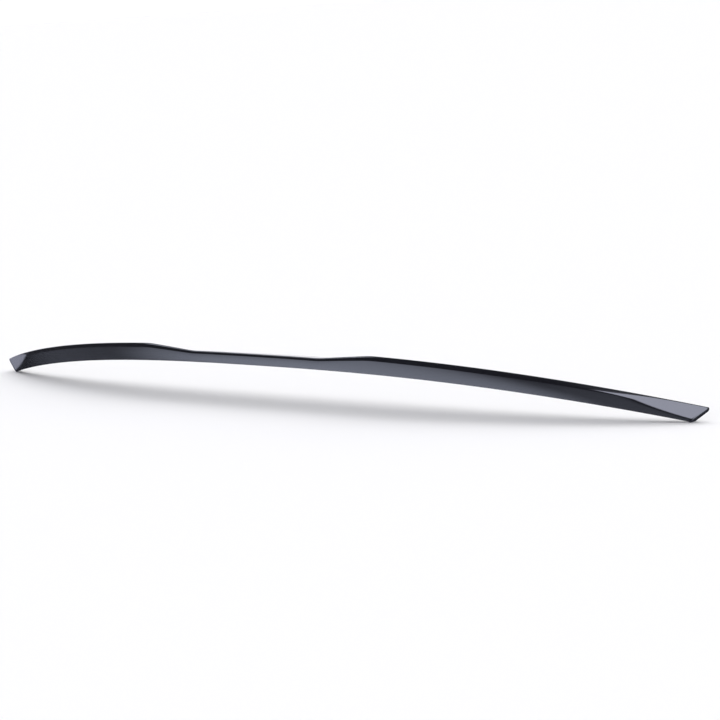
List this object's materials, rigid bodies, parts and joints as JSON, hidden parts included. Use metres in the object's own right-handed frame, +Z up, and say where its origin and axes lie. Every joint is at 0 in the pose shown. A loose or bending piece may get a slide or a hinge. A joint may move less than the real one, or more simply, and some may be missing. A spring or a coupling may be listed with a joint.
{
  "type": "tailgate spoiler",
  "caption": "Slim gloss black lip spoiler with a lowered middle and faceted tips, bonded along a car's tailgate edge to trim the airflow",
  "frame": {"origin": "middle of the rear lower edge, on the seat that is bonded along the tailgate's trailing edge", "axes": "+X across the car, +Y towards the car's front, +Z up"},
  "size_m": [1.2468, 0.1142, 0.0718],
  "materials": {
    "gloss_black": "high gloss"
  },
  "bodies": {
    "root": {"spoiler_body": "gloss_black"}
  },
  "joints": []
}
